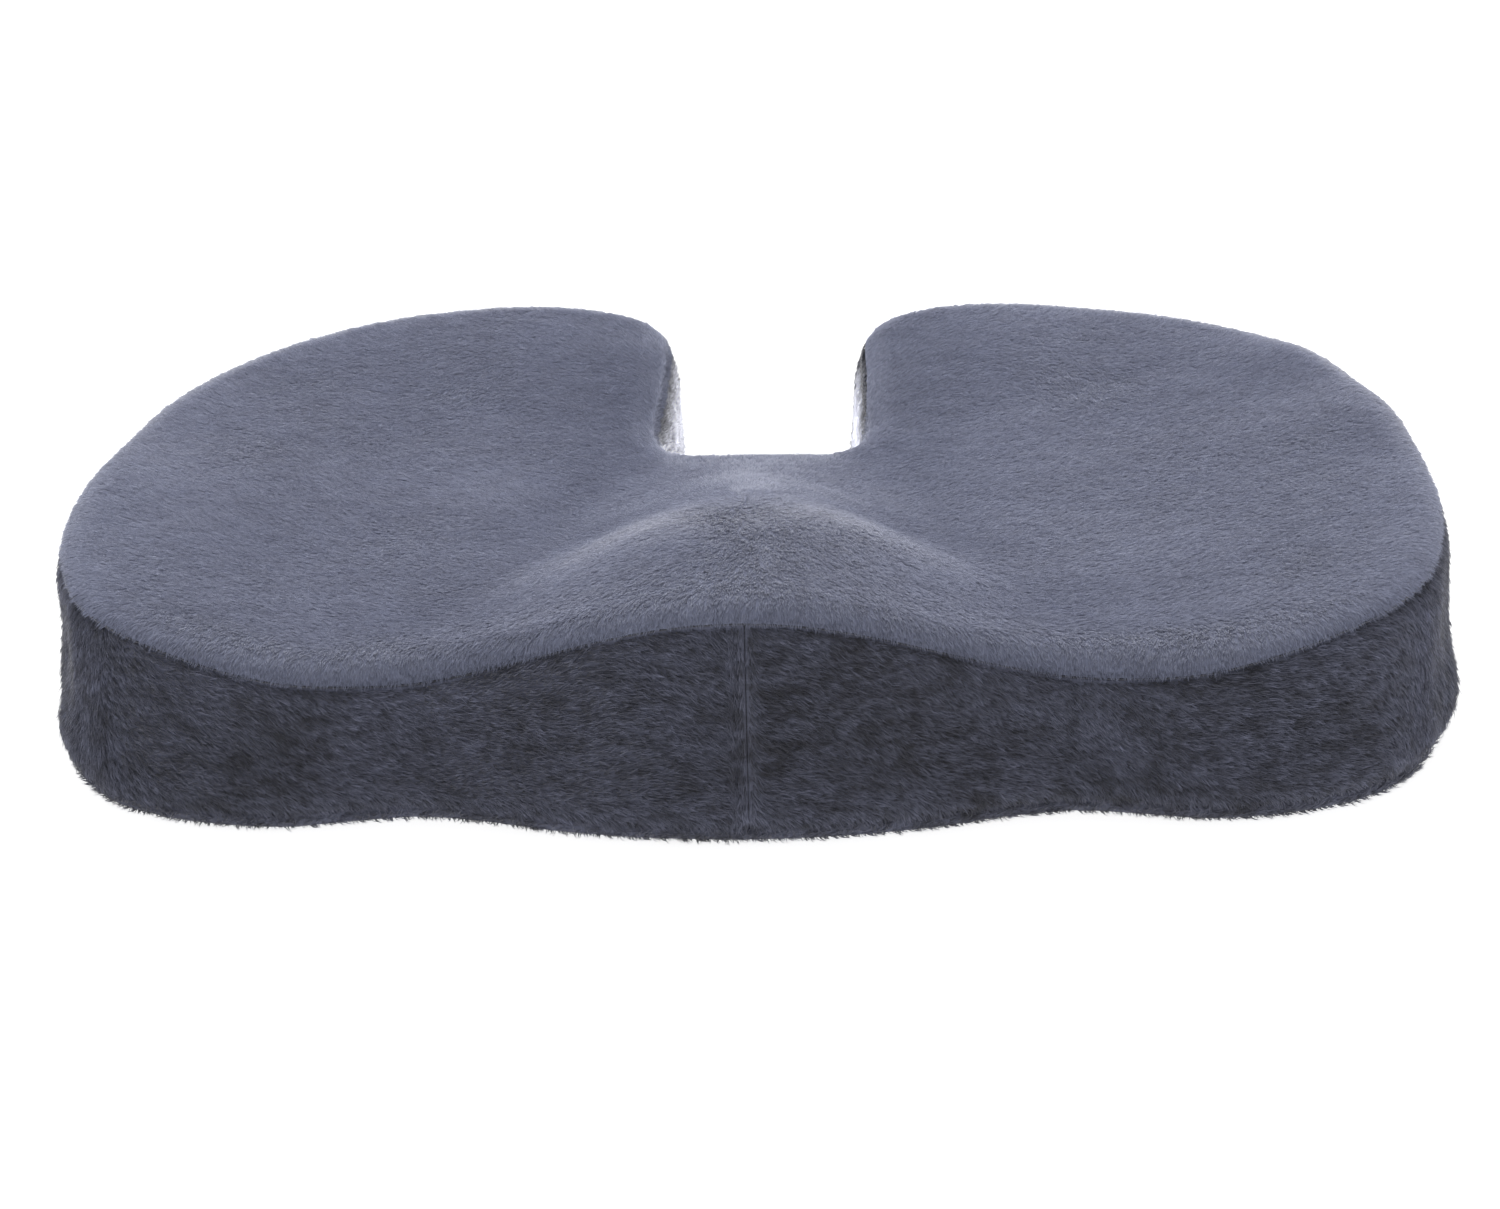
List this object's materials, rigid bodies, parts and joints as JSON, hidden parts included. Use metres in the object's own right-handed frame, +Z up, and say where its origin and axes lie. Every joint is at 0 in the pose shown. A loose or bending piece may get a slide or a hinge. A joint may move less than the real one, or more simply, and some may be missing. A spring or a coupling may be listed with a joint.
{
  "type": "seat cushion",
  "caption": "Contoured memory-foam seat cushion with a rear U cut-out and a front pommel, in a plush cover that zips across the underside.",
  "frame": {"origin": "centre of the underside, at the middle of the bounding box", "axes": "+Z up, +X to the right seen from the front, +Y to the rear, where the cut-out opens"},
  "size_m": [0.4506, 0.3537, 0.08],
  "materials": {
    "top_plush": "short-pile plush, soft matt with a light sheen",
    "band_plush": "short-pile plush brushed downwards, dark and matt",
    "foot_plush": "short-pile plush of the underside",
    "foam": "open-cell memory foam, matt cream",
    "thread": "polyester sewing thread",
    "zip_tape": "woven polyester tape",
    "zip_coil": "nylon coil, satin",
    "zip_metal": "nickel-plated zinc, satin"
  },
  "bodies": {
    "cushion": {"foam_core": "foam", "top_panel": "top_plush", "side_band_left": "band_plush", "side_band_right": "band_plush", "bottom_panel_front": "foot_plush", "bottom_panel_rear": "foot_plush", "top_seam_thread": "thread", "bottom_seam_thread": "thread", "front_seam_thread": "thread", "cutout_seam_thread": "thread", "zip_stitch_front": "thread", "zip_stitch_rear": "thread", "zip_tape_front": "zip_tape", "zip_tape_rear": "zip_tape", "zip_coil_front": "zip_coil", "zip_coil_rear": "zip_coil", "zip_bottom_stop": "zip_metal", "zip_top_stop_front": "zip_metal", "zip_top_stop_rear": "zip_metal"},
    "slider": {"zip_slider": "zip_metal"},
    "pull": {"zip_pull": "zip_metal"}
  },
  "joints": [
    {"name": "zip_slide", "type": "slide", "parent": "cushion", "child": "slider", "axis": [-1, 0, 0], "range_m": [0, 0.32]},
    {"name": "pull_swing", "type": "hinge", "parent": "slider", "child": "pull", "pos_m": [0.16, -0.03, 0.00345], "axis": [0, -1, 0], "range_deg": [0, 180]}
  ]
}
